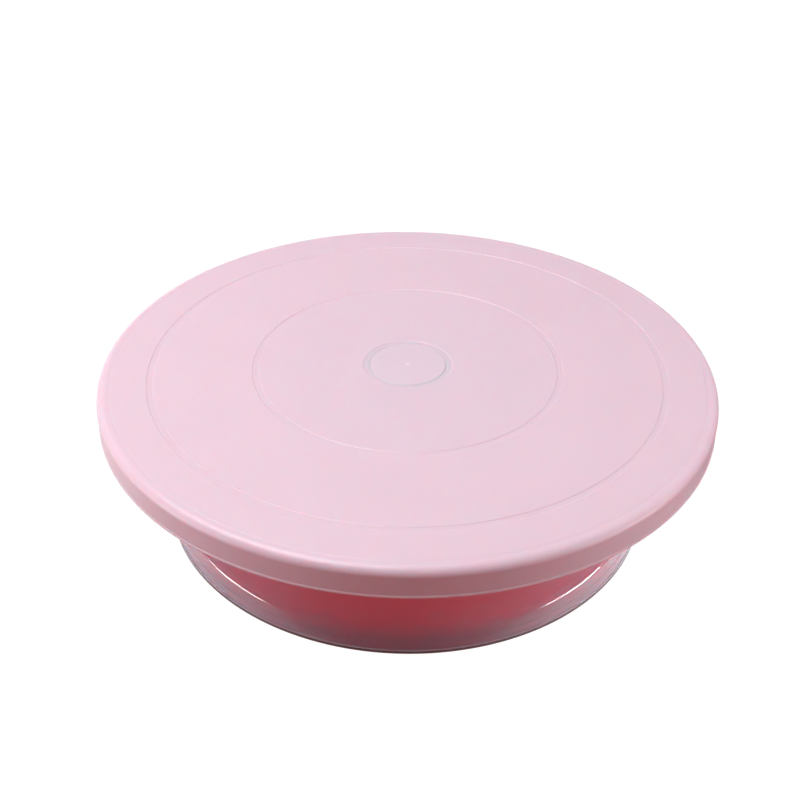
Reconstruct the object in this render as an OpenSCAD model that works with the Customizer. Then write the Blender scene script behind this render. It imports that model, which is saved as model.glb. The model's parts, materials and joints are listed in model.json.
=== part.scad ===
// Cake turntable: a moulded plate that spins on a caged ball ring over a domed base.
// Millimetres, +Z up. The origin is the centre of the footprint, on the table.

/* [Plate] */
// Outer diameter of the plate
plate_d = 280; // [270:2:300]
// Height of the cake surface above the table
total_h = 70; // [68:0.5:76]
// Depth of the rim, from the cake surface to its lower edge
rim_h = 13.4; // [12:0.2:15]
// Radius of the rounded edge
edge_r = 3.6; // [3:0.2:5]
// Thickness of the plate's top wall
plate_wall = 3; // [2.6:0.1:3.4]
// Thickness of the rim wall
rim_wall = 2.4; // [2:0.1:3]
// Centre radius of the inner guide groove
inner_groove_r = 69.5; // [66:0.5:73]
// Centre radius of the outer guide groove
outer_groove_r = 116.5; // [112:0.5:120]
// Width of the guide grooves
groove_w = 3.2; // [2.4:0.2:4]
// Depth of the guide grooves
groove_depth = 0.3; // [0.2:0.05:0.5]
// Number of outer ribs under the plate
plate_ribs = 24; // [12:4:32]

/* [Centre cap] */
// Radius of the cap
cap_r = 17.4; // [17:0.1:18.4]
// Thickness of the cap
cap_t = 2; // [1.6:0.1:2.2]

/* [Base] */
// Outer diameter of the foot
foot_d = 226; // [218:1:232]
// Wall thickness of the base
base_wall = 2.6; // [2.2:0.1:3]
// Radius of the base's rounded shoulder
shoulder_r = 6.5; // [6:0.5:8]
// Slope of the dome above the shoulder, in degrees
dome_slope = 30; // [28:1:31]
// Outer radius of the neck
neck_r = 64; // [63.5:0.5:66]
// Number of ribs under the base
base_ribs = 8; // [8:4:8]

/* [Ball ring] */
// Pitch radius of the ball track
pitch_r = 53; // [52.8:0.1:53.2]
// Radius of a ball
ball_r = 3; // [2.9:0.05:3.1]
// Number of balls
balls = 20; // [12:2:24]

/* [Hidden] */
$fn = 96;

// Colours
pink = [0.93, 0.78, 0.83];
lilac = [0.87, 0.80, 0.86];
steel = [0.72, 0.73, 0.75];
zinc = [0.80, 0.80, 0.78];
nylon = [0.94, 0.93, 0.89];
rubber = [0.12, 0.12, 0.13];

// Plate levels and radii
plate_r = plate_d / 2;
under_z = total_h - plate_wall;
rim_z = total_h - rim_h;
rim_tip_r = 0.8;
rim_bead = 0.25;
rim_bead_h = rim_tip_r + 0.2;
inner_fillet_r = 3;
edge_line_r = plate_r - 5.5;
edge_line_w = 0.9;
edge_line_depth = 0.12;
groove_slope = 0.9;
cap_groove_r = cap_r + groove_w / 2;
cap_groove_slope = 0.6;
plate_rib_t = 1.6;
bite = 0.5;

// Ball ring levels, from the plate down to the base
race_t = 1.5;
race_in_r = pitch_r - 9.5;
race_out_r = pitch_r + 6.5;
track_depth = 0.7;
track_r = ball_r + 0.15;
track_play = 0.03;
seat_z = total_h - 7.5;
upper_race_z = seat_z - race_t;
ball_z = upper_race_z + track_depth - ball_r - track_play;
lower_race_top = ball_z - ball_r + track_depth - track_play;
platform_z = lower_race_top - race_t;
cage_t = 2.6;
cage_w = 9;
pocket_play = 0.2;
seat_wall = 1.8;

// Race screws
screw_ring_r = pitch_r - 5.7;
race_screws = 4;
race_screw_head_r = 2.3;
race_screw_head_t = 1.2;
race_screw_r = 1.2;
race_screw_len = 5;
screw_play = 0.05;
screw_boss_r = 3.6;
between_ribs = 360 / base_ribs / 2;

// Spindle, hub and what holds them
journal_r = 5;
journal_play = 0.05;
bush_r = 8;
bush_flange_r = 10.5;
bush_flange_t = 1.6;
hub_r = 13;
well_z = platform_z - 7.9;
hex_pocket = 1.2;
hex_flange_t = 3.5;
hex_flange_r = 9.8;
thrust_t = 1;
hub_z = well_z - hex_pocket + hex_flange_t + thrust_t + 0.2 + bush_flange_t;
hub_top = total_h - 8;
lift_play = 0.3;
washer_r = 9.5;
washer_t = 1.2;
spring_washer_w = 2.2;
spring_washer_t = 1.2;
well_bore_r = 12.5;
m5_r = 2.5;
m8_r = 4;
pan_r = 4.75;
pan_t = 2.5;
screw_len = 12;
boss_r = 13;
boss_z = well_z - 17;
nut_t = 6.5;
nut_flats = 13;
boss_spring_washer_w = 2.6;
boss_spring_washer_t = 1.8;
boss_washer_t = 1.4;
boss_washer_r = 9;
nut_z = boss_z - boss_washer_t - boss_spring_washer_t - nut_t;
thread_end_z = nut_z - 1.8;
cover_wall = 1.5;
cover_grip = 6;
cover_z = thread_end_z - 1 - cover_wall;

// Base levels and radii
foot_r = foot_d / 2;
foot_z = 1.2;
lip_h = 1.1;
lip_step = 0.35;
parting_r = foot_r - 1.6;
parting_z = 5.2;
parting_step = 0.15;
shoulder_start = 22;
shoulder_end = 90 - dome_slope;
shoulder_z = 8.1;
shoulder_cr = parting_r - (shoulder_z - parting_z) * tan(shoulder_start) - shoulder_r * cos(shoulder_start);
shoulder_cz = shoulder_z - shoulder_r * sin(shoulder_start);
dome_r0 = shoulder_cr + shoulder_r * cos(shoulder_end);
dome_z0 = shoulder_cz + shoulder_r * sin(shoulder_end);
neck_fillet = 10;
neck_cr = neck_r + neck_fillet;
dome_run = (dome_r0 + neck_fillet * sin(dome_slope) - neck_cr) / cos(dome_slope);
neck_cz = dome_z0 + dome_run * sin(dome_slope) + neck_fillet * cos(dome_slope);
neck_top = platform_z + 3.6;
neck_round = 1.2;
well_r = pitch_r - 13;
channel_out = foot_r - 3.1;
channel_in = foot_r - 8.9;
channel_h = 4;
channel_wall = 2.2;
web_t = 2.2;
base_rib_t = 2;

// Anti-slip ring
tread_out = foot_r;
tread_in = foot_r - 10.2;
tread_grooves = 2;
tread_groove_w = 0.8;
tread_groove_h = 0.5;

// Points along an arc about [cx, cz], from angle a0 to angle a1
function arc(cx, cz, r, a0, a1, n = 8) =
    [for (i = [0:n]) let (a = a0 + (a1 - a0) * i / n) [cx + r * cos(a), cz + r * sin(a)]];

// A ring or disc about the axis: radii r0 to r1, heights z0 to z1
module ring(r0, r1, z0, z1) {
    rotate_extrude() translate([r0, z0]) square([r1 - r0, z1 - z0]);
}

// Puts its children n times around the axis
module around(n, turn = 0) {
    for (i = [0:n - 1]) rotate(turn + 360 * i / n) children();
}

// A flat rib standing in the plane of the axis, from a profile of [radius, height] points
module rib(points, t) {
    rotate([90, 0, 0]) translate([0, 0, -t / 2]) linear_extrude(t) polygon(points);
}

// The cut of a shallow, flat-bottomed guide groove, whose sides each slope over a width
module guide_groove(r, slope = groove_slope) {
    top = groove_w / 2;
    foot = top - slope;
    up = 0.1;
    rotate_extrude() polygon([[r - top, total_h + up], [r - top, total_h],
        [r - foot, total_h - groove_depth], [r + foot, total_h - groove_depth],
        [r + top, total_h], [r + top, total_h + up]]);
}

// The fine line where the flat top meets the rounded edge
module edge_line() {
    rotate_extrude() polygon([[edge_line_r - edge_line_w / 2, total_h + 0.1],
        [edge_line_r - edge_line_w / 2, total_h], [edge_line_r, total_h - edge_line_depth],
        [edge_line_r + edge_line_w / 2, total_h], [edge_line_r + edge_line_w / 2, total_h + 0.1]]);
}

// Disc and rim in one skin, solid to the axis
module plate_skin() {
    outer = concat([[0, total_h]],
        arc(plate_r - rim_bead - edge_r, total_h - edge_r, edge_r, 90, 0),
        [[plate_r - rim_bead, rim_z + rim_bead_h + rim_bead], [plate_r, rim_z + rim_bead_h]],
        arc(plate_r - rim_tip_r, rim_z + rim_tip_r, rim_tip_r, 0, -90, 4));
    inner = concat([[plate_r - rim_wall, rim_z]],
        arc(plate_r - rim_wall - inner_fillet_r, under_z - inner_fillet_r, inner_fillet_r, 0, 90, 6),
        [[0, under_z]]);
    rotate_extrude() polygon(concat(outer, inner));
}

// The ribs, walls, bosses and hub moulded under the plate
module plate_underside() {
    inner_wall_r = race_in_r - 1.5;
    outer_wall_r = race_out_r + 0.5;
    ring(inner_wall_r, inner_wall_r + seat_wall, seat_z, under_z + bite);
    ring(outer_wall_r, outer_wall_r + seat_wall, seat_z - race_t, under_z + bite);
    ring(97, 97 + plate_rib_t, under_z - 4, under_z + bite);
    around(plate_ribs)
        translate([outer_wall_r + 1, -plate_rib_t / 2, seat_z])
            cube([plate_r - rim_wall - outer_wall_r, plate_rib_t, under_z + bite - seat_z]);
    around(8, between_ribs)
        translate([hub_r - 1, -plate_rib_t / 2, seat_z - 4])
            cube([inner_wall_r - hub_r + 2, plate_rib_t, under_z + bite - seat_z + 4]);
    around(16, between_ribs / 2)
        translate([inner_wall_r + 1, -plate_rib_t / 2, seat_z])
            cube([outer_wall_r - inner_wall_r, plate_rib_t, under_z + bite - seat_z]);
    around(race_screws)
        translate([screw_ring_r, 0, seat_z]) cylinder(r = screw_boss_r, h = under_z + bite - seat_z);
    translate([0, 0, hub_z]) cylinder(r = hub_r, h = under_z + bite - hub_z);
    ring(0, well_bore_r + 2.5, hub_top - 2, under_z + bite);
}

module turntable_plate() {
    color(pink) difference() {
        union() {
            plate_skin();
            plate_underside();
        }
        guide_groove(inner_groove_r);
        guide_groove(outer_groove_r);
        guide_groove(cap_groove_r, cap_groove_slope);
        edge_line();
        translate([0, 0, total_h - cap_t]) cylinder(r = cap_r, h = cap_t + 1);
        translate([0, 0, hub_top]) cylinder(r = well_bore_r, h = total_h - hub_top);
        translate([0, 0, hub_z - 1]) cylinder(r = bush_r, h = hub_top - hub_z + 2);
        around(race_screws)
            translate([screw_ring_r, 0, seat_z - 1])
                cylinder(r = race_screw_r + screw_play, h = race_screw_len + 0.5, $fn = 32);
    }
}

module centre_cap() {
    skirt_out = well_bore_r - 0.05;
    gate_r = 1.9;
    gate_depth = 0.15;
    nub_h = gate_depth + 0.15;
    nub_r = 0.8;
    color(lilac) {
        difference() {
            union() {
                translate([0, 0, total_h - cap_t + 0.02])
                    cylinder(r = cap_r - 0.1, h = cap_t - 0.12);
                ring(skirt_out - 1.5, skirt_out, hub_top + 1, total_h - cap_t + 0.5);
            }
            translate([0, 0, total_h - 0.1 - gate_depth]) cylinder(r = gate_r, h = 1, $fn = 48);
            around(4, 45)
                translate([skirt_out - 3, -1, hub_top]) cube([6, 2, 4]);
        }
        translate([0, 0, total_h - 0.2 - gate_depth]) cylinder(r = nub_r, h = nub_h, $fn = 32);
    }
}

module hub_bush() {
    color(nylon) difference() {
        union() {
            translate([0, 0, hub_z - bush_flange_t]) cylinder(r = bush_flange_r, h = bush_flange_t);
            translate([0, 0, hub_z - 0.1]) cylinder(r = bush_r, h = hub_top - hub_z + 0.1);
        }
        translate([0, 0, hub_z - bush_flange_t - 1])
            cylinder(r = journal_r + journal_play, h = hub_top - hub_z + bush_flange_t + 2);
    }
}

// A split spring washer for a screw of radius r, w wide and t thick, standing on z
module spring_washer(r, w, z, t) {
    split = 0.9;
    difference() {
        ring(r + 0.2, r + 0.2 + w, z, z + t);
        translate([r - 1, -split / 2, z - 1]) rotate([20, 0, 0]) cube([w + 3, split, t + 3]);
    }
}

// A flat steel ring with a ball track in the face at track_z, on the side that track_up gives
module race(z, track_up) {
    face = track_up ? z + race_t : z;
    track_bottom = track_up ? face - track_depth : face + track_depth;
    track_cz = track_up ? track_bottom + track_r : track_bottom - track_r;
    rotate_extrude() difference() {
        translate([race_in_r, z]) square([race_out_r - race_in_r, race_t]);
        translate([pitch_r, track_cz]) circle(r = track_r, $fn = 64);
    }
}

// The countersunk hole for a race screw, with its mouth at the origin and opening upwards
module race_hole() {
    translate([0, 0, -race_t - 1])
        cylinder(r = race_screw_r + screw_play, h = race_t + 2, $fn = 32);
    translate([0, 0, -race_screw_head_t])
        cylinder(r1 = race_screw_r + screw_play, r2 = race_screw_head_r + screw_play,
                 h = race_screw_head_t, $fn = 32);
}

module upper_race() {
    color(steel) difference() {
        race(upper_race_z, false);
        around(race_screws)
            translate([screw_ring_r, 0, upper_race_z]) rotate([180, 0, 0]) race_hole();
    }
}

module lower_race() {
    color(steel) difference() {
        race(platform_z, true);
        around(race_screws, between_ribs)
            translate([screw_ring_r, 0, platform_z + race_t]) race_hole();
    }
}

// A countersunk screw with its head's face at the origin and its shank below
module race_screw() {
    slot_w = 0.6;
    slot_depth = 0.7;
    difference() {
        union() {
            translate([0, 0, -race_screw_head_t])
                cylinder(r1 = race_screw_r, r2 = race_screw_head_r, h = race_screw_head_t, $fn = 32);
            translate([0, 0, -race_screw_len]) cylinder(r = race_screw_r, h = race_screw_len, $fn = 32);
        }
        for (a = [0, 90]) rotate(a)
            translate([-1.4, -slot_w / 2, -slot_depth]) cube([2.8, slot_w, slot_depth + 1]);
    }
}

module upper_race_screws() {
    color(zinc) around(race_screws)
        translate([screw_ring_r, 0, upper_race_z]) rotate([180, 0, 0]) race_screw();
}

module lower_race_screws() {
    color(zinc) around(race_screws, between_ribs)
        translate([screw_ring_r, 0, platform_z + race_t]) race_screw();
}

module ball_cage() {
    color(nylon) difference() {
        ring(pitch_r - cage_w / 2, pitch_r + cage_w / 2, ball_z - cage_t / 2, ball_z + cage_t / 2);
        around(balls)
            translate([pitch_r, 0, ball_z - cage_t])
                cylinder(r = ball_r + pocket_play, h = 2 * cage_t, $fn = 48);
    }
}

module bearing_balls() {
    color(steel) around(balls) translate([pitch_r, 0, ball_z]) sphere(r = ball_r, $fn = 48);
}

// The base's section: outside from foot to neck, the bearing well, then the underside back to the foot
module base_section() {
    inner_neck_r = neck_r - base_wall;
    slab_z = platform_z - base_wall;
    web_top = foot_z + channel_h + web_t;
    inner_shoulder_r = shoulder_r - base_wall;
    inner_web_angle = asin((web_top - shoulder_cz) / inner_shoulder_r);
    polygon(concat(
        [[foot_r, foot_z], [foot_r, foot_z + lip_h], [foot_r - lip_step, foot_z + lip_h + lip_step / 2],
         [parting_r + parting_step, parting_z - parting_step / 2], [parting_r, parting_z]],
        arc(shoulder_cr, shoulder_cz, shoulder_r, shoulder_start, shoulder_end),
        arc(neck_cr, neck_cz, neck_fillet, 270 - dome_slope, 180, 6),
        arc(neck_r - neck_round, neck_top - neck_round, neck_round, 0, 90, 4),
        [[race_out_r + 2, neck_top], [race_out_r + 2, platform_z], [well_r, platform_z],
         [well_r, well_z], [0, well_z], [0, boss_z], [boss_r, boss_z], [boss_r, well_z - base_wall],
         [well_r + base_wall, well_z - base_wall], [well_r + base_wall, slab_z],
         [inner_neck_r, slab_z]],
        arc(neck_cr, neck_cz, neck_fillet + base_wall, 180, 270 - dome_slope, 6),
        arc(shoulder_cr, shoulder_cz, inner_shoulder_r, shoulder_end, inner_web_angle, 6),
        [[channel_in - channel_wall, web_top], [channel_in - channel_wall, foot_z],
         [channel_in, foot_z], [channel_in, foot_z + channel_h],
         [channel_out, foot_z + channel_h], [channel_out, foot_z]]));
}

// A stiffening rib from the boss out to the dome. Its upper edge runs inside the wall.
module base_rib() {
    mid = base_wall / 2;
    rib_end = dome_r0 - 16;
    dome_mid_r = dome_r0 - mid * sin(dome_slope);
    dome_mid_z = dome_z0 - mid * cos(dome_slope) + (dome_mid_r - rib_end) * tan(dome_slope);
    rib(concat([[boss_r - 1, boss_z + cover_grip + 2], [boss_r - 1, well_z - mid],
                [well_r + mid, well_z - mid], [well_r + mid, platform_z - mid],
                [neck_r - mid, platform_z - mid]],
               arc(neck_cr, neck_cz, neck_fillet + mid, 180, 270 - dome_slope, 3),
               [[rib_end, dome_mid_z]]),
        base_rib_t);
}

module base_shell() {
    color(pink) difference() {
        union() {
            rotate_extrude() base_section();
            around(base_ribs) base_rib();
            around(race_screws, between_ribs)
                translate([screw_ring_r, 0, platform_z - 9]) cylinder(r = screw_boss_r, h = 9 - bite);
        }
        translate([0, 0, boss_z - 1]) cylinder(r = m8_r + 0.15, h = well_z - boss_z + 2, $fn = 48);
        translate([0, 0, well_z - hex_pocket]) cylinder(r = hex_flange_r + 0.1, h = 5, $fn = 6);
        around(race_screws, between_ribs)
            translate([screw_ring_r, 0, platform_z - race_screw_len])
                cylinder(r = race_screw_r + screw_play, h = race_screw_len + 1, $fn = 32);
    }
}

module spindle() {
    flange_z = well_z - hex_pocket;
    journal_top = hub_top + lift_play;
    end_z = thread_end_z;
    color(steel) difference() {
        union() {
            translate([0, 0, flange_z]) cylinder(r = hex_flange_r, h = hex_flange_t, $fn = 6);
            translate([0, 0, flange_z + 0.5]) cylinder(r = journal_r, h = journal_top - flange_z - 0.5);
            translate([0, 0, end_z + 0.8]) cylinder(r = m8_r, h = flange_z - end_z, $fn = 48);
            translate([0, 0, end_z]) cylinder(r1 = m8_r - 0.8, r2 = m8_r, h = 0.8, $fn = 48);
        }
        translate([0, 0, journal_top - screw_len]) cylinder(r = m5_r + 0.05, h = screw_len + 1, $fn = 48);
    }
}

module thrust_washer() {
    z = well_z - hex_pocket + hex_flange_t;
    color(nylon) ring(journal_r + 0.2, hex_flange_r * cos(30) + 0.8, z, z + thrust_t);
}

module retaining_washer() {
    z = hub_top + lift_play;
    color(zinc) ring(m5_r + 0.15, washer_r, z, z + washer_t);
}

module retaining_spring_washer() {
    color(zinc) spring_washer(m5_r, spring_washer_w, hub_top + lift_play + washer_t, spring_washer_t);
}

module retaining_screw() {
    z = hub_top + lift_play + washer_t + spring_washer_t;
    slot_w = 1;
    slot_len = 5;
    color(zinc) difference() {
        union() {
            rotate_extrude() polygon(concat([[0, z]], [[pan_r, z]],
                arc(pan_r - 1.5, z + pan_t - 1.5, 1.5, 0, 90, 5), [[0, z + pan_t]]));
            translate([0, 0, z - screw_len + 2]) cylinder(r = m5_r, h = screw_len - 2, $fn = 48);
        }
        for (a = [0, 90]) rotate(a)
            translate([-slot_len / 2, -slot_w / 2, z + pan_t - 1.4]) cube([slot_len, slot_w, 2]);
    }
}

module boss_washer() {
    color(zinc) ring(m8_r + 0.2, boss_washer_r, boss_z - boss_washer_t, boss_z);
}

module boss_spring_washer() {
    color(zinc) spring_washer(m8_r, boss_spring_washer_w, nut_z + nut_t, boss_spring_washer_t);
}

module spindle_nut() {
    z = nut_z;
    corner_r = nut_flats / 2 / cos(30);
    color(zinc) difference() {
        intersection() {
            translate([0, 0, z]) cylinder(r = corner_r, h = nut_t, $fn = 6);
            rotate_extrude() polygon([[0, z], [nut_flats / 2, z], [corner_r, z + 0.7],
                [corner_r, z + nut_t - 0.7], [nut_flats / 2, z + nut_t], [0, z + nut_t]]);
        }
        translate([0, 0, z - 1]) cylinder(r = m8_r + 0.05, h = nut_t + 2, $fn = 48);
    }
}

// The push-on cup that covers the nut
module nut_cover() {
    grip_r = boss_r + 0.05;
    color(pink) rotate_extrude() difference() {
        translate([0, cover_z]) square([grip_r + cover_wall, boss_z + cover_grip - cover_z]);
        translate([-1, cover_z + cover_wall]) square([grip_r + 1, boss_z + cover_grip]);
        translate([grip_r + cover_wall, cover_z]) rotate(45) square(2, center = true);
    }
}

// The soft ring under the foot: a tongue in the base's channel and a wider tread below it
module anti_slip_ring() {
    tongue_play = 0.1;
    step = (tread_out - tread_in) / (tread_grooves + 1);
    color(rubber) difference() {
        union() {
            ring(tread_in, tread_out, 0, foot_z);
            ring(channel_in + tongue_play, channel_out - tongue_play,
                 foot_z - 0.1, foot_z + channel_h - 0.2);
        }
        for (i = [1:tread_grooves])
            ring(tread_in + i * step - tread_groove_w / 2, tread_in + i * step + tread_groove_w / 2,
                 -1, tread_groove_h);
    }
}

turntable_plate();
centre_cap();
hub_bush();
upper_race();
upper_race_screws();
ball_cage();
bearing_balls();
base_shell();
lower_race();
lower_race_screws();
spindle();
thrust_washer();
retaining_washer();
retaining_spring_washer();
retaining_screw();
boss_washer();
boss_spring_washer();
spindle_nut();
nut_cover();
anti_slip_ring();
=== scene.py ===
"""A cake turntable: a grooved matt plate on a glossy flared base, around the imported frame.

Outlines are in millimetres, as [radius, height] above the table. Everything else is in metres.
"""
import json
import math

import bmesh
import bpy
from mathutils import Euler, Matrix, Vector


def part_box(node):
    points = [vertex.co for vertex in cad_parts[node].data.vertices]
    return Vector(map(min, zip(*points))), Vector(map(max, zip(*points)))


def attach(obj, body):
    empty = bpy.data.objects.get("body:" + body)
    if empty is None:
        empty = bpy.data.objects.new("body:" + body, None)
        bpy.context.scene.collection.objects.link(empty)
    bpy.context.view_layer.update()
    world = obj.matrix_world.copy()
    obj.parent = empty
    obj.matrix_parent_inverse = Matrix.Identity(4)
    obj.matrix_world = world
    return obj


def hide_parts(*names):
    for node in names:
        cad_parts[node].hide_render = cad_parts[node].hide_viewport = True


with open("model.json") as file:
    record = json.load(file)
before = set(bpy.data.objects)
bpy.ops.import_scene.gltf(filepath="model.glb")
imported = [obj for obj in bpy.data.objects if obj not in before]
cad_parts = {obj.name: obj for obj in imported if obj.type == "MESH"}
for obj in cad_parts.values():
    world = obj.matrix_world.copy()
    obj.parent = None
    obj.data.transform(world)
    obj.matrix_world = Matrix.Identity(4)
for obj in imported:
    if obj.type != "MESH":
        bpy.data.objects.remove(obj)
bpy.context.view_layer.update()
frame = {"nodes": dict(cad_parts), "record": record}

MM = 0.001
SEGMENTS = 360
# Folds sharper than this stay crisp.
SHARP = math.radians(38)
# Points closer than these, in metres, become one: in a new mesh, and in a finished one.
NEW_WELD = 1e-7
FINAL_WELD = 2e-6


def box_mm(node):
    """The radius, lowest height and highest height of a CAD node, in millimetres."""
    low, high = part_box(node)
    return round(high[1] / MM, 1), low[2] / MM, high[2] / MM


# ---------------------------------------------------------------- mesh helpers


def arc(centre, radius, start, end, steps=10):
    """Points along an arc in the outline's plane. Angles are in degrees."""
    points = []
    for i in range(steps + 1):
        angle = math.radians(start + (end - start) * i / steps)
        points.append((centre[0] + radius * math.cos(angle), centre[1] + radius * math.sin(angle)))
    return points


def rounded(corners, steps=5):
    """An outline from (radius, height) corners, rounded where a corner gives a third value."""
    points = []
    count = len(corners)
    for i, corner in enumerate(corners):
        here = corner[:2]
        if len(corner) == 2:
            points.append(here)
            continue
        before, after = corners[i - 1][:2], corners[(i + 1) % count][:2]
        to_before = (before[0] - here[0], before[1] - here[1])
        to_after = (after[0] - here[0], after[1] - here[1])
        len_before, len_after = math.hypot(*to_before), math.hypot(*to_after)
        unit_before = (to_before[0] / len_before, to_before[1] / len_before)
        unit_after = (to_after[0] / len_after, to_after[1] / len_after)
        cosine = unit_before[0] * unit_after[0] + unit_before[1] * unit_after[1]
        half = math.acos(max(-1.0, min(1.0, cosine))) / 2
        reach = min(corner[2] / math.tan(half), 0.49 * len_before, 0.49 * len_after)
        radius = reach * math.tan(half)
        middle = (unit_before[0] + unit_after[0], unit_before[1] + unit_after[1])
        scale = radius / math.sin(half) / math.hypot(*middle)
        centre = (here[0] + middle[0] * scale, here[1] + middle[1] * scale)
        first = (here[0] + unit_before[0] * reach, here[1] + unit_before[1] * reach)
        last = (here[0] + unit_after[0] * reach, here[1] + unit_after[1] * reach)
        start = math.atan2(first[1] - centre[1], first[0] - centre[0])
        turn = math.atan2(last[1] - centre[1], last[0] - centre[0]) - start
        turn = (turn + math.pi) % (2 * math.pi) - math.pi
        points += arc(centre, radius, math.degrees(start), math.degrees(start + turn), steps)
    return points


def object_from(name, mesh_maker):
    """A new object whose mesh the function mesh_maker fills, with outward faces."""
    mesh = bpy.data.meshes.new(name)
    bm = bmesh.new()
    mesh_maker(bm)
    bmesh.ops.remove_doubles(bm, verts=bm.verts, dist=NEW_WELD)
    bmesh.ops.recalc_face_normals(bm, faces=bm.faces)
    bm.to_mesh(mesh)
    bm.free()
    piece = bpy.data.objects.new(name, mesh)
    bpy.context.scene.collection.objects.link(piece)
    return piece


def lathe(bm, outline, segments=SEGMENTS):
    """Turns a closed outline about Z. Points on the axis become one vertex each."""
    rings = []
    for radius, height in outline:
        if radius < 1e-6:
            rings.append([bm.verts.new((0, 0, height * MM))] * segments)
            continue
        ring = []
        for i in range(segments):
            angle = 2 * math.pi * i / segments
            ring.append(bm.verts.new((radius * MM * math.cos(angle), radius * MM * math.sin(angle),
                                      height * MM)))
        rings.append(ring)
    for ring, following in zip(rings, rings[1:] + rings[:1]):
        for i in range(segments):
            j = (i + 1) % segments
            corners = []
            for vert in (ring[i], ring[j], following[j], following[i]):
                if vert not in corners:
                    corners.append(vert)
            if len(corners) > 2:
                bm.faces.new(corners)


def extrude_outline(bm, outline, thickness, turn):
    """A flat plate with an outline in the plane of the axis, turned about Z by turn degrees."""
    spin = Matrix.Rotation(math.radians(turn), 4, "Z")
    sides = []
    for y in (-thickness / 2, thickness / 2):
        sides.append([bm.verts.new(spin @ Vector((x * MM, y * MM, z * MM))) for x, z in outline])
    bm.faces.new(sides[0])
    bm.faces.new(sides[1][::-1])
    for i in range(len(outline)):
        j = (i + 1) % len(outline)
        bm.faces.new((sides[0][i], sides[0][j], sides[1][j], sides[1][i]))


def upright_cylinder(bm, radius, low, high, distance, turn, segments=48):
    """A cylinder that stands at a distance from the axis, in the direction of turn degrees."""
    angle = math.radians(turn)
    centre = (distance * math.cos(angle), distance * math.sin(angle))
    loops = []
    for height in (low, high):
        loop = []
        for i in range(segments):
            a = 2 * math.pi * i / segments
            loop.append(bm.verts.new(((centre[0] + radius * math.cos(a)) * MM,
                                      (centre[1] + radius * math.sin(a)) * MM, height * MM)))
        loops.append(loop)
    bm.faces.new(loops[0][::-1])
    bm.faces.new(loops[1])
    for i in range(segments):
        j = (i + 1) % segments
        bm.faces.new((loops[0][i], loops[0][j], loops[1][j], loops[1][i]))


def combine(piece, tool, operation):
    """Joins the tool to the piece, or cuts the piece with it, and deletes the tool."""
    boolean = piece.modifiers.new(operation.lower(), "BOOLEAN")
    boolean.operation = operation
    boolean.solver = "EXACT"
    boolean.object = tool
    apply_modifiers(piece)
    bpy.data.objects.remove(tool)


def apply_modifiers(piece):
    """Makes the piece's modifiers part of its mesh."""
    graph = bpy.context.evaluated_depsgraph_get()
    graph.update()
    mesh = bpy.data.meshes.new_from_object(piece.evaluated_get(graph))
    piece.modifiers.clear()
    old = piece.data
    piece.data = mesh
    bpy.data.meshes.remove(old)


def shade(piece):
    """Smooth shading with crisp folds, and flat faces that stay flat beside a rounding."""
    bm = bmesh.new()
    bm.from_mesh(piece.data)
    bmesh.ops.remove_doubles(bm, verts=bm.verts, dist=FINAL_WELD)
    for face in bm.faces:
        face.smooth = True
    for edge in bm.edges:
        edge.smooth = len(edge.link_faces) == 2 and edge.calc_face_angle(0) < SHARP
    bm.to_mesh(piece.data)
    bm.free()
    weighted = piece.modifiers.new("weighted_normals", "WEIGHTED_NORMAL")
    weighted.keep_sharp = True
    weighted.weight = 100


def around(count, turn=0.0):
    """Directions in degrees, evenly spaced about the axis."""
    return [turn + 360 / count * i for i in range(count)]


# ---------------------------------------------------------------- material helpers


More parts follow.
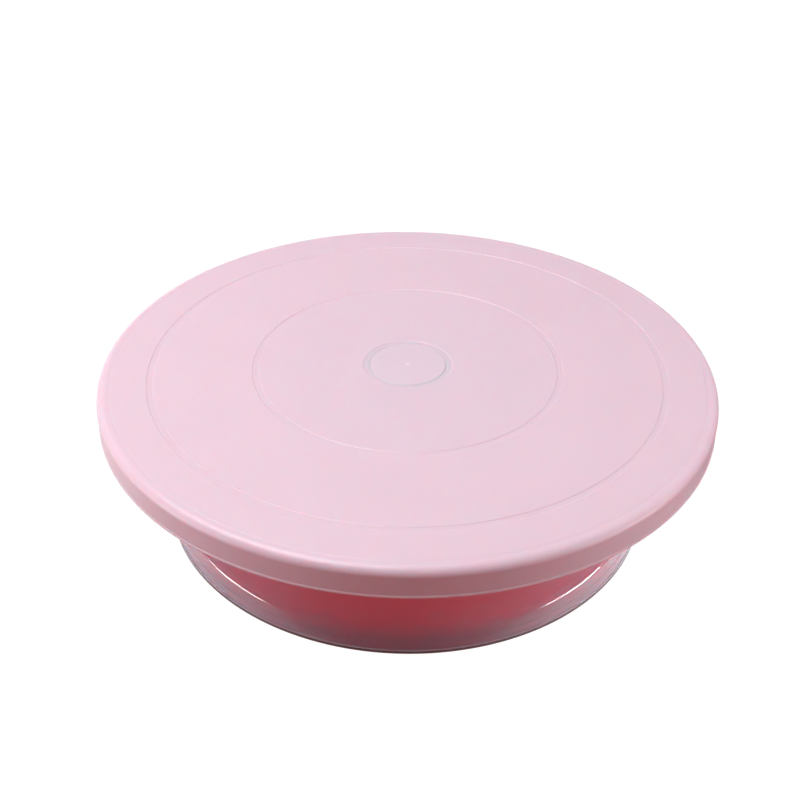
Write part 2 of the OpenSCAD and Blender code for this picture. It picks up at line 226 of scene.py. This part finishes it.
class Nodes:
    """A short way to write a material's node tree."""

    def __init__(self, name):
        self.material = bpy.data.materials.new(name)
        self.material.use_nodes = True
        self.tree = self.material.node_tree
        self.shader = self.tree.nodes["Principled BSDF"]
        coordinates = self.tree.nodes.new("ShaderNodeTexCoord")
        self.place = coordinates.outputs["Object"]

    def link(self, output, socket):
        self.tree.links.new(output, socket)

    def noise(self, scale, detail=2.0, roughness=0.5, place=None):
        """Noise from 0 to 1, with features about 1/scale metres apart."""
        node = self.tree.nodes.new("ShaderNodeTexNoise")
        node.inputs["Scale"].default_value = scale
        node.inputs["Detail"].default_value = detail
        node.inputs["Roughness"].default_value = roughness
        self.link(place or self.place, node.inputs["Vector"])
        return node.outputs["Fac"]

    def ranged(self, value, low, high, from_low=0.3, from_high=0.7):
        """The value mapped onto low to high."""
        node = self.tree.nodes.new("ShaderNodeMapRange")
        for socket, number in (("From Min", from_low), ("From Max", from_high),
                               ("To Min", low), ("To Max", high)):
            node.inputs[socket].default_value = number
        self.link(value, node.inputs["Value"])
        return node.outputs["Result"]

    def ramp(self, value, stops):
        """A colour ramp through (position, colour) stops."""
        node = self.tree.nodes.new("ShaderNodeValToRGB")
        elements = node.color_ramp.elements
        elements[0].position, elements[0].color = stops[0][0], (*stops[0][1], 1)
        elements[1].position, elements[1].color = stops[-1][0], (*stops[-1][1], 1)
        for position, colour in stops[1:-1]:
            elements.new(position).color = (*colour, 1)
        self.link(value, node.inputs["Fac"])
        return node.outputs["Color"]

    def math(self, operation, first, second):
        """One arithmetic step. Either side is an output or a number."""
        node = self.tree.nodes.new("ShaderNodeMath")
        node.operation = operation
        for socket, side in zip(node.inputs, (first, second)):
            if isinstance(side, (int, float)):
                socket.default_value = side
            else:
                self.link(side, socket)
        return node.outputs["Value"]

    def bump(self, height, depth, strength=1.0, before=None):
        """Bumps depth metres high, on top of the bumps before them."""
        node = self.tree.nodes.new("ShaderNodeBump")
        node.inputs["Distance"].default_value = depth
        node.inputs["Strength"].default_value = strength
        self.link(height, node.inputs["Height"])
        if before is not None:
            self.link(before, node.inputs["Normal"])
        return node.outputs["Normal"]

    def radius(self):
        """Distance from the turntable's axis, in metres."""
        split = self.tree.nodes.new("ShaderNodeSeparateXYZ")
        self.link(self.place, split.inputs["Vector"])
        across = self.math("MULTIPLY", split.outputs["X"], split.outputs["X"])
        along = self.math("MULTIPLY", split.outputs["Y"], split.outputs["Y"])
        return self.math("SQRT", self.math("ADD", across, along), 0.0)

    def set(self, **values):
        """Sets the shader's own sockets, with spaces written as underscores."""
        for name, value in values.items():
            self.shader.inputs[name.replace("_", " ")].default_value = value


# Where the painted highlight on the gate nub starts to fade and where it ends, in metres from the axis.
GATE_HIGHLIGHT_SPAN = (0.0004, 0.0011)


def shaded(colour, factor):
    """A colour made darker or lighter."""
    return tuple(min(1.0, channel * factor) for channel in colour)


def moulded_plastic(name, colour, roughness, grain_depth, glow, glow_radius, polish=0.0, gate=1.0):
    """Injection-moulded plastic: faint cloudy colour, a fine eroded grain and light that seeps in.

    A painted highlight: the gate nub on the axis is gate times as bright as the rest.
    """
    nodes = Nodes(name)
    clouds = nodes.noise(28, detail=3)
    cloudy = nodes.ramp(clouds, [(0.3, shaded(colour, 0.99)), (0.5, colour),
                                 (0.7, shaded(colour, 1.01))])
    # Painted highlight: the colour is brightened on the gate nub at the axis.
    highlighted = nodes.tree.nodes.new("ShaderNodeVectorMath")
    highlighted.operation = "SCALE"
    nodes.link(cloudy, highlighted.inputs[0])
    nodes.link(nodes.ranged(nodes.radius(), gate, 1.0, *GATE_HIGHLIGHT_SPAN), highlighted.inputs["Scale"])
    nodes.link(highlighted.outputs["Vector"], nodes.shader.inputs["Base Color"])
    smears = nodes.noise(90, detail=4, roughness=0.6)
    nodes.link(nodes.ranged(smears, roughness * 0.9, roughness * 1.1), nodes.shader.inputs["Roughness"])
    waves = nodes.bump(nodes.noise(60, detail=1), grain_depth * 2)
    grain = nodes.bump(nodes.noise(2600, detail=2, roughness=0.6), grain_depth, before=waves)
    nodes.link(grain, nodes.shader.inputs["Normal"])
    nodes.set(IOR=1.54, Subsurface_Weight=glow, Subsurface_Radius=glow_radius, Subsurface_Scale=MM,
              Coat_Weight=polish, Coat_Roughness=0.04, Coat_IOR=1.5)
    return nodes.material


def turned_steel(name, colour, roughness):
    """Steel with fine concentric tool marks about the axis."""
    nodes = Nodes(name)
    lines = nodes.tree.nodes.new("ShaderNodeTexNoise")
    lines.noise_dimensions = "1D"
    lines.inputs["Scale"].default_value = 5200
    lines.inputs["Detail"].default_value = 3
    nodes.link(nodes.radius(), lines.inputs["W"])
    marks = lines.outputs["Fac"]
    nodes.link(nodes.ramp(marks, [(0.25, shaded(colour, 0.82)), (0.75, shaded(colour, 1.08))]),
               nodes.shader.inputs["Base Color"])
    nodes.link(nodes.ranged(marks, roughness * 0.75, roughness * 1.3), nodes.shader.inputs["Roughness"])
    nodes.link(nodes.bump(marks, 0.00002), nodes.shader.inputs["Normal"])
    nodes.set(Metallic=1.0)
    return nodes.material


def plated_steel(name, colour, roughness):
    """Zinc-plated or polished steel with a cloudy finish."""
    nodes = Nodes(name)
    spots = nodes.noise(900, detail=4, roughness=0.65)
    nodes.link(nodes.ramp(spots, [(0.3, shaded(colour, 0.85)), (0.7, shaded(colour, 1.06))]),
               nodes.shader.inputs["Base Color"])
    nodes.link(nodes.ranged(spots, roughness * 0.8, roughness * 1.3), nodes.shader.inputs["Roughness"])
    nodes.link(nodes.bump(spots, 0.00001), nodes.shader.inputs["Normal"])
    nodes.set(Metallic=1.0)
    return nodes.material


def soft_rubber(name, colour):
    """Matt thermoplastic rubber with a sandy grain."""
    nodes = Nodes(name)
    grain = nodes.noise(1800, detail=3, roughness=0.7)
    nodes.link(nodes.ramp(grain, [(0.3, shaded(colour, 0.8)), (0.7, shaded(colour, 1.5))]),
               nodes.shader.inputs["Base Color"])
    nodes.link(nodes.ranged(grain, 0.72, 0.9), nodes.shader.inputs["Roughness"])
    nodes.link(nodes.bump(grain, 0.00006), nodes.shader.inputs["Normal"])
    nodes.set(IOR=1.5)
    return nodes.material


# ---------------------------------------------------------------- the plate

PLATE_R, HUB_Z, TOP_Z = box_mm("turntable_plate")
CAP_R = box_mm("centre_cap")[0] + 0.1
BASE_R, BOSS_Z, NECK_Z = box_mm("base_shell")
RIM_H = 13.4
EDGE_R = 3.6
PLATE_WALL = 3.0
RIM_WALL = 2.4
UNDER_Z = TOP_Z - PLATE_WALL
RIM_Z = TOP_Z - RIM_H
RACE_SEAT_Z = TOP_Z - 7.5
HUB_TOP_Z = TOP_Z - 8.0
HUB_R = 13.0
BUSH_R = 8.0
WELL_R = 12.5
GUIDE_GROOVES = (116.5, 69.5)
GROOVE_W = 3.2
GROOVE_DEPTH = 0.3
GROOVE_SLOPE = 0.45
GROOVE_SOFT = 0.3
EDGE_LINE_R = PLATE_R - 5.5
EDGE_LINE_W = 0.6
EDGE_LINE_DEPTH = 0.12
EDGE_LINE_SOFT = 0.3
RIM_BEAD = 0.25
RIM_BEAD_H = 1.0
RIB_T = 1.6
SCREW_R = 1.25
SCREW_BOSS_R = 3.6
SCREW_RING_R = 47.3
WALL_UNDER_T = 1.8
RACE_WALL_R = 42.0
OUTER_WALL_R = 60.0
STIFFENER_R = 97.0
SOCKET_DEPTH = 2.0
SOCKET_R = WELL_R + 2.5


def groove(radius):
    """The corners of a guide groove's cut, from its outer shoulder to its inner one."""
    half = GROOVE_W / 2
    floor = TOP_Z - GROOVE_DEPTH
    return [(radius + half, TOP_Z, GROOVE_SOFT), (radius + half - GROOVE_SLOPE, floor, GROOVE_SOFT),
            (radius - half + GROOVE_SLOPE, floor, GROOVE_SOFT), (radius - half, TOP_Z, GROOVE_SOFT)]


def hanging_ring(radius, thickness, low):
    """The corners of a ring-shaped wall that hangs under the plate."""
    return [(radius, UNDER_Z, 0.8), (radius, low, 0.3), (radius + thickness, low, 0.3),
            (radius + thickness, UNDER_Z, 0.8)]


def plate_outline():
    """The plate's section: hub and underside outwards, round the rim, then the top inwards."""
    under = [(BUSH_R, HUB_Z, 0.3), (HUB_R, HUB_Z, 0.6), (HUB_R, HUB_TOP_Z - 2, 0.4),
             (SOCKET_R, HUB_TOP_Z - 2, 0.4), (SOCKET_R, UNDER_Z, 1.0)]
    under += hanging_ring(RACE_WALL_R, WALL_UNDER_T, RACE_SEAT_Z)
    under += hanging_ring(OUTER_WALL_R, WALL_UNDER_T, RACE_SEAT_Z - 1.5)
    under += hanging_ring(STIFFENER_R, RIB_T, UNDER_Z - 4)
    inner_rim_r = PLATE_R - RIM_WALL
    face_r = PLATE_R - RIM_BEAD
    rim = [(inner_rim_r, UNDER_Z, 3.0), (inner_rim_r, RIM_Z, 0.9), (PLATE_R, RIM_Z, 0.6),
           (PLATE_R, RIM_Z + RIM_BEAD_H, 0.3), (face_r, RIM_Z + RIM_BEAD_H + RIM_BEAD, 0.15)]
    top = [(EDGE_LINE_R + EDGE_LINE_W / 2, TOP_Z, EDGE_LINE_SOFT),
           (EDGE_LINE_R, TOP_Z - EDGE_LINE_DEPTH, EDGE_LINE_SOFT),
           (EDGE_LINE_R - EDGE_LINE_W / 2, TOP_Z, EDGE_LINE_SOFT)]
    for radius in GUIDE_GROOVES:
        top += groove(radius)
    top += groove(CAP_R + GROOVE_W / 2)
    pocket = [(CAP_R, TOP_Z - SOCKET_DEPTH), (WELL_R, TOP_Z - SOCKET_DEPTH, 0.3),
              (WELL_R, HUB_TOP_Z), (BUSH_R, HUB_TOP_Z)]
    edge = arc((face_r - EDGE_R, TOP_Z - EDGE_R), EDGE_R, 0, 90, 20)
    return rounded(under + rim + edge + top + pocket)


def block(bm, inner, outer, low, high, turn):
    """A radial rib from the inner to the outer radius."""
    extrude_outline(bm, [(inner, low), (outer, low), (outer, high), (inner, high)], RIB_T, turn)


def plate_ribs(bm):
    """The radial ribs and screw bosses under the plate. Their tops run inside its wall."""
    high = UNDER_Z + 1.0
    for turn in around(24):
        block(bm, OUTER_WALL_R + 1, PLATE_R - RIM_WALL / 2, RACE_SEAT_Z, high, turn)
    for turn in around(8, 22.5):
        block(bm, HUB_R - 1, RACE_WALL_R + 1, RACE_SEAT_Z - 4, high, turn)
    for turn in around(16, 11.25):
        block(bm, RACE_WALL_R + 1, OUTER_WALL_R + 0.5, RACE_SEAT_Z, high, turn)
    for turn in around(4):
        upright_cylinder(bm, SCREW_BOSS_R, RACE_SEAT_Z, high, SCREW_RING_R, turn)


def screw_holes(low, high, turn):
    """A cutter for the four race screws' holes."""
    def make(bm):
        for direction in around(4, turn):
            upright_cylinder(bm, SCREW_R, low, high, SCREW_RING_R, direction, 24)
    return object_from("screw_hole_cutter", make)


def make_plate():
    plate = object_from("plate", lambda bm: lathe(bm, plate_outline()))
    combine(plate, object_from("plate_rib_tool", plate_ribs), "UNION")
    combine(plate, screw_holes(RACE_SEAT_Z - 1, RACE_SEAT_Z + 4, 0), "DIFFERENCE")
    shade(plate)
    return plate


# ---------------------------------------------------------------- the centre cap

CAP_GAP = 0.03
CAP_T = 1.9
CAP_TOP_Z = TOP_Z - 0.1
SKIRT_R = WELL_R - 0.05
SKIRT_WALL = 1.5
GATE_R = 1.8
GATE_DEPTH = 0.15
NUB_R = 0.7
NUB_RISE = 0.05


def cap_outline():
    """The cap's section, with a gate dimple and its nub in the middle and a skirt below."""
    low = CAP_TOP_Z - CAP_T
    gate_z = CAP_TOP_Z - GATE_DEPTH
    skirt_z = HUB_TOP_Z + 1
    skirt_in = SKIRT_R - SKIRT_WALL
    nub = arc((0, CAP_TOP_Z + NUB_RISE - NUB_R), NUB_R, 90, 40, 6)
    dimple = [(NUB_R, gate_z, 0.1), (GATE_R - 0.6, gate_z, 0.8), (GATE_R + 0.4, CAP_TOP_Z, 0.8)]
    body = [(CAP_R - CAP_GAP, CAP_TOP_Z, 0.3), (CAP_R - CAP_GAP, low, 0.3), (SKIRT_R, low),
            (SKIRT_R, skirt_z, 0.3), (skirt_in, skirt_z, 0.3), (skirt_in, low, 0.4), (0, low)]
    return rounded(nub + dimple + body)


# ---------------------------------------------------------------- the base

WALL = 2.6
DOME_SLOPE = 30.0
FOOT_Z = 1.2
LIP_H = 1.1
LIP_STEP = 0.35
PARTING_R = BASE_R - 1.6
PARTING_Z = 5.2
PARTING_STEP = 0.15
SHOULDER_R = 6.5
SHOULDER_Z = 8.1
SHOULDER_START = 22.0
SHOULDER_END = 90 - DOME_SLOPE
NECK_R = 64.0
NECK_FILLET = 10.0
PLATFORM_Z = NECK_Z - 3.6
WELL_Z = PLATFORM_Z - 7.9
BOSS_R = 13.0
BORE_R = 4.15
WELL_WALL_R = 40.0
CHANNEL_IN = BASE_R - 8.9
CHANNEL_OUT = BASE_R - 3.1
CHANNEL_H = 4.0
CHANNEL_WALL = 2.2
SEAT_R = 61.5
POCKET_R = 10.0
POCKET_DEPTH = 1.2
BASE_RIB_T = 2.0
shoulder_lean = math.radians(SHOULDER_START)
shoulder_x = (PARTING_R - (SHOULDER_Z - PARTING_Z) * math.tan(shoulder_lean)
              - SHOULDER_R * math.cos(shoulder_lean))
shoulder_z = SHOULDER_Z - SHOULDER_R * math.sin(shoulder_lean)
slope_tan = math.tan(math.radians(DOME_SLOPE))


def dome_z(radius, depth=0.0):
    """Height of the dome's straight flank at a radius, depth millimetres inside its skin."""
    end = math.radians(SHOULDER_END)
    start_r = shoulder_x + (SHOULDER_R - depth) * math.cos(end)
    start_z = shoulder_z + (SHOULDER_R - depth) * math.sin(end)
    return start_z + (start_r - radius) * slope_tan


def base_outline():
    """The base's section: boss and underside outwards, the foot, then up the flank and inwards."""
    slab_z = PLATFORM_Z - WALL
    web_z = FOOT_Z + CHANNEL_H + CHANNEL_WALL
    wall_r = CHANNEL_IN - CHANNEL_WALL
    inner_neck_r = NECK_R - WALL
    inner_shoulder = SHOULDER_R - WALL
    web_angle = math.degrees(math.asin((web_z - shoulder_z) / inner_shoulder))
    under = [(BORE_R, BOSS_Z), (BOSS_R, BOSS_Z, 0.5), (BOSS_R, WELL_Z - WALL, 1.2),
             (WELL_WALL_R + WALL, WELL_Z - WALL, 1.2), (WELL_WALL_R + WALL, slab_z, 1.2),
             (inner_neck_r, slab_z, 1.5), (inner_neck_r, dome_z(inner_neck_r, WALL), NECK_FILLET + WALL)]
    under += arc((shoulder_x, shoulder_z), inner_shoulder, SHOULDER_END, web_angle, 6)
    foot = [(wall_r, web_z, 0.4), (wall_r, FOOT_Z, 0.5), (CHANNEL_IN, FOOT_Z, 0.2),
            (CHANNEL_IN, FOOT_Z + CHANNEL_H, 0.2), (CHANNEL_OUT, FOOT_Z + CHANNEL_H, 0.2),
            (CHANNEL_OUT, FOOT_Z, 0.2), (BASE_R, FOOT_Z, 0.3), (BASE_R, FOOT_Z + LIP_H, 0.25),
            (BASE_R - LIP_STEP, FOOT_Z + LIP_H + LIP_STEP / 2, 0.3),
            (PARTING_R + PARTING_STEP, PARTING_Z - PARTING_STEP / 2), (PARTING_R, PARTING_Z)]
    shoulder = arc((shoulder_x, shoulder_z), SHOULDER_R, SHOULDER_START, SHOULDER_END, 20)
    neck = [(NECK_R, dome_z(NECK_R), NECK_FILLET), (NECK_R, NECK_Z, 1.2), (SEAT_R, NECK_Z, 0.6),
            (SEAT_R, PLATFORM_Z, 0.2), (WELL_WALL_R, PLATFORM_Z, 0.5), (WELL_WALL_R, WELL_Z, 0.8),
            (POCKET_R, WELL_Z, 0.2), (POCKET_R, WELL_Z - POCKET_DEPTH), (BORE_R, WELL_Z - POCKET_DEPTH)]
    return rounded(under + foot + shoulder + neck, 8)


def base_rib_outline():
    """A rib from the boss to the dome. Its upper edge runs inside the wall."""
    mid = WALL / 2
    tip_r = BASE_R - 21.5
    bend_r = NECK_R + 6
    return [(BOSS_R - 1, BOSS_Z + 8), (tip_r, dome_z(tip_r, mid)), (bend_r, dome_z(bend_r, mid)),
            (NECK_R - mid, dome_z(NECK_R - mid, mid) + 3),
            (NECK_R - mid, PLATFORM_Z - mid), (WELL_WALL_R + mid, PLATFORM_Z - mid),
            (WELL_WALL_R + mid, WELL_Z - mid), (BOSS_R - 1, WELL_Z - mid)]


def base_additions(bm):
    """The radial ribs and the screw bosses under the bearing seat."""
    for turn in around(8):
        extrude_outline(bm, base_rib_outline(), BASE_RIB_T, turn)
    for turn in around(4, 22.5):
        upright_cylinder(bm, SCREW_BOSS_R, PLATFORM_Z - 9, PLATFORM_Z - 0.5, SCREW_RING_R, turn)


def make_base():
    base = object_from("base", lambda bm: lathe(bm, base_outline()))
    combine(base, object_from("base_rib_tool", base_additions), "UNION")
    combine(base, screw_holes(PLATFORM_Z - 5, PLATFORM_Z + 1, 22.5), "DIFFERENCE")
    shade(base)
    return base


# ---------------------------------------------------------------- nut cover and anti-slip ring

COVER_WALL = 1.5
TREAD_GROOVES = 2
TREAD_HALF_W = 0.4
TREAD_DEPTH = 0.5
TREAD_IN = BASE_R - 10.2
TONGUE_PLAY = 0.1


def cover_outline():
    """The push-on cup over the spindle nut."""
    radius, low, high = box_mm("nut_cover")
    inner = radius - COVER_WALL
    return rounded([(0, low), (radius, low, 1.6), (radius, high, 0.5), (inner, high, 0.5),
                    (inner, low + COVER_WALL, 1.0), (0, low + COVER_WALL)])


def ring_outline():
    """The soft ring: a grooved tread below and a tongue in the base's channel."""
    radius, low, high = box_mm("anti_slip_ring")
    step = (radius - TREAD_IN) / (TREAD_GROOVES + 1)
    tongue_in, tongue_out = CHANNEL_IN + TONGUE_PLAY, CHANNEL_OUT - TONGUE_PLAY
    corners = [(TREAD_IN, FOOT_Z, 0.3), (TREAD_IN, low, 0.5)]
    for i in range(1, TREAD_GROOVES + 1):
        start = TREAD_IN + i * step - TREAD_HALF_W
        end = TREAD_IN + i * step + TREAD_HALF_W
        corners += [(start, low, 0.2), (start, low + TREAD_DEPTH, 0.2),
                    (end, low + TREAD_DEPTH, 0.2), (end, low, 0.2)]
    corners += [(radius, low, 0.15), (radius, FOOT_Z, 0.1), (tongue_out, FOOT_Z),
                (tongue_out, high, 0.3), (tongue_in, high, 0.3), (tongue_in, FOOT_Z)]
    return rounded(corners, 3)


# ---------------------------------------------------------------- finishes

PINK = (0.72, 0.545, 0.63)
LILAC = (0.70, 0.55, 0.635)
# Painted shade: the base is the plate's pale pink plastic, deepened here to a saturated red that stands
# for the shade under the plate.
BASE_PINK_PAINTED_SHADE = (0.97, 0.35, 0.445)
CREAM = (0.80, 0.78, 0.70)
STEEL = (0.56, 0.57, 0.58)
CHROME_STEEL = (0.74, 0.75, 0.77)
ZINC = (0.66, 0.66, 0.63)
ROSE_GREY = (0.22, 0.13, 0.14)
# How far red, green and blue light seeps into each plastic, in millimetres.
PLATE_SEEP = (6.0, 1.4, 1.8)
CAP_SEEP = (1.0, 0.6, 0.7)
BASE_SEEP = (14.0, 1.2, 1.6)
NYLON_SEEP = (2.5, 2.2, 1.8)

finishes = {
    "plate_plastic": moulded_plastic("plate_plastic", PINK, 0.37, 0.00003, 0.6, PLATE_SEEP),
    # The cap's gate nub gets a painted highlight, 1.25 times as bright as the rest.
    "cap_plastic": moulded_plastic("cap_plastic", LILAC, 0.36, 0.00002, 0.3, CAP_SEEP, gate=1.25),
    # The base's colour holds painted shade: a deep red for the shade under the plate.
    "base_plastic": moulded_plastic("base_plastic", BASE_PINK_PAINTED_SHADE, 0.13, 0.000002, 1.0, BASE_SEEP, 1.0),
    "nylon": moulded_plastic("nylon", CREAM, 0.45, 0.00002, 0.5, NYLON_SEEP),
    "race_steel": turned_steel("race_steel", STEEL, 0.28),
    "ball_steel": plated_steel("ball_steel", CHROME_STEEL, 0.08),
    "zinc": plated_steel("zinc", ZINC, 0.3),
    "rubber": soft_rubber("rubber", ROSE_GREY),
}

slot_of = {part["node"]: part["material_slot"] for part in frame["record"]["subparts"]}


def finish_with(piece, slot):
    """Gives the piece its finish in place of any that it has."""
    piece.data.materials.clear()
    piece.data.materials.append(finishes[slot])


def stand_for(piece, node, body):
    """The piece takes a CAD node's place, finish and body."""
    finish_with(piece, slot_of[node])
    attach(piece, body)
    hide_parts(node)


for node, cad_piece in frame["nodes"].items():
    finish_with(cad_piece, slot_of[node])

stand_for(make_plate(), "turntable_plate", "turntable")

cap = object_from("cap", lambda bm: lathe(bm, cap_outline()))
shade(cap)
stand_for(cap, "centre_cap", "turntable")

stand_for(make_base(), "base_shell", "base")

cover = object_from("spindle_cover", lambda bm: lathe(bm, cover_outline(), 120))
shade(cover)
stand_for(cover, "nut_cover", "base")

foot_ring = object_from("foot_ring", lambda bm: lathe(bm, ring_outline()))
shade(foot_ring)
stand_for(foot_ring, "anti_slip_ring", "base")

# ---------------------------------------------------------------- floor, light and camera

FLOOR_HALF = 6.0
# The floor's own light and its diffuse share, to the camera and to the object.
FLOOR_WHITE = (0.99, 0.99, 0.99)
FLOOR_WHITE_DIFFUSE = 0.06
FLOOR_GLOW = (0.34, 0.014, 0.007)
FLOOR_DIFFUSE = 0.15
# Axis, where the change starts and ends, and the level at each end.
MIRROR_FADES = (("Y", -0.2, -0.04, 0.0, 1.0), ("X", -0.15, 0.1, 1.0, 1.4),
                ("X", 0.11, 0.19, 1.0, 0.0))
LIGHT_AIM = (0, 0, 0.05)
CAMERA_PLACE = (0.0, -0.4531, 0.3559)
CAMERA_TURN = (55.96, -0.54, 0.79)
SENSOR = 36
LENS = 52.58


def by_ray(tree, kind, shader, others):
    """One shader for a kind of ray, and another for the rest."""
    path = tree.nodes.new("ShaderNodeLightPath")
    mix = tree.nodes.new("ShaderNodeMixShader")
    tree.links.new(path.outputs[kind], mix.inputs["Fac"])
    tree.links.new(others, mix.inputs[1])
    tree.links.new(shader, mix.inputs[2])
    return mix.outputs["Shader"]


def glow(tree, colour):
    """A light of one colour, as a node whose strength can be set."""
    emission = tree.nodes.new("ShaderNodeEmission")
    emission.inputs["Color"].default_value = (*colour, 1)
    return emission


def paper(tree, diffuse, colour):
    """A diffuse surface that glows a little."""
    surface = tree.nodes.new("ShaderNodeBsdfDiffuse")
    surface.inputs["Color"].default_value = (diffuse, diffuse, diffuse, 1)
    both = tree.nodes.new("ShaderNodeAddShader")
    tree.links.new(surface.outputs["BSDF"], both.inputs[0])
    tree.links.new(glow(tree, colour).outputs["Emission"], both.inputs[1])
    return both.outputs["Shader"]


def mirrored_floor(tree):
    """What shiny surfaces mirror of the floor: white that fades out in front and on the right."""
    place = tree.nodes.new("ShaderNodeNewGeometry")
    split = tree.nodes.new("ShaderNodeSeparateXYZ")
    tree.links.new(place.outputs["Position"], split.inputs["Vector"])
    white = glow(tree, (1, 1, 1))
    level = None
    for axis, start, end, low, high in MIRROR_FADES:
        fade = tree.nodes.new("ShaderNodeMapRange")
        fade.interpolation_type = "SMOOTHSTEP"
        for socket, number in (("From Min", start), ("From Max", end),
                               ("To Min", low), ("To Max", high)):
            fade.inputs[socket].default_value = number
        tree.links.new(split.outputs[axis], fade.inputs["Value"])
        if level is None:
            level = fade.outputs["Result"]
            continue
        product = tree.nodes.new("ShaderNodeMath")
        product.operation = "MULTIPLY"
        tree.links.new(level, product.inputs[0])
        tree.links.new(fade.outputs["Result"], product.inputs[1])
        level = product.outputs["Value"]
    tree.links.new(level, white.inputs["Strength"])
    return white.outputs["Emission"]


def make_floor():
    """A wide floor. The camera sees it white, and it throws a dim, warm light at the object."""
    def fill(bm):
        bmesh.ops.create_grid(bm, x_segments=1, y_segments=1, size=FLOOR_HALF)
    floor = object_from("floor", fill)
    material = bpy.data.materials.new("floor_paper")
    material.use_nodes = True
    tree = material.node_tree
    thrown = paper(tree, FLOOR_DIFFUSE, FLOOR_GLOW)
    felt = by_ray(tree, "Is Glossy Ray", mirrored_floor(tree), thrown)
    seen = paper(tree, FLOOR_WHITE_DIFFUSE, FLOOR_WHITE)
    whole = by_ray(tree, "Is Camera Ray", seen, felt)
    tree.links.new(whole, tree.nodes["Material Output"].inputs["Surface"])
    floor.data.materials.append(material)


def softbox(name, place, size, power, shape="RECTANGLE", glossy=True):
    """A flat light that faces the turntable. The camera doesn't see the light itself.

    One that isn't glossy lights a surface without being mirrored in it.
    """
    light = bpy.data.lights.new(name, "AREA")
    light.shape = shape
    light.size, light.size_y = size
    light.energy = power
    lamp = bpy.data.objects.new(name, light)
    lamp.location = place
    direction = Vector(LIGHT_AIM) - lamp.location
    lamp.rotation_euler = direction.to_track_quat("-Z", "Y").to_euler()
    lamp.visible_camera = False
    lamp.visible_glossy = glossy
    bpy.context.scene.collection.objects.link(lamp)


def make_world():
    """A white surround that the camera sees, and that gives no light of its own."""
    world = bpy.data.worlds.new("studio")
    world.use_nodes = True
    tree = world.node_tree
    white = tree.nodes["Background"]
    white.inputs["Color"].default_value = (1, 1, 1, 1)
    dark = tree.nodes.new("ShaderNodeBackground")
    dark.inputs["Color"].default_value = (0, 0, 0, 1)
    whole = by_ray(tree, "Is Camera Ray", white.outputs["Background"], dark.outputs["Background"])
    tree.links.new(whole, tree.nodes["World Output"].inputs["Surface"])
    bpy.context.scene.world = world


def make_camera():
    """The photograph's view: from the front, about 32 degrees above the plate."""
    data = bpy.data.cameras.new("camera")
    data.sensor_width = SENSOR
    data.lens = LENS
    data.clip_start = 0.01
    camera = bpy.data.objects.new("camera", data)
    camera.location = CAMERA_PLACE
    camera.rotation_euler = Euler([math.radians(angle) for angle in CAMERA_TURN])
    bpy.context.scene.collection.objects.link(camera)
    bpy.context.scene.camera = camera


make_floor()
make_world()
softbox("top_light", (-0.35, -0.05, 1.05), (0.9, 0.6), 9.4)
softbox("back_left_light", (-0.8, 0.9, 0.4), (0.8, 0.6), 3.9, glossy=False)
softbox("high_left_light", (-0.9, 0, 0.75), (0.6, 0.6), 4.9, glossy=False)
softbox("high_right_light", (0.9, 0, 0.75), (0.6, 0.6), 6.0, glossy=False)
softbox("right_light", (1.1, 0.1, 0.4), (0.8, 0.6), 0.9, glossy=False)
softbox("left_strip", (-0.86, -0.26, 0.08), (0.56, 0.06), 1.8, "ELLIPSE")
softbox("right_strip", (0.86, -0.26, 0.08), (0.56, 0.06), 2.2, "ELLIPSE")
make_camera()
bpy.context.scene.view_settings.view_transform = "Standard"

bpy.context.view_layer.update()
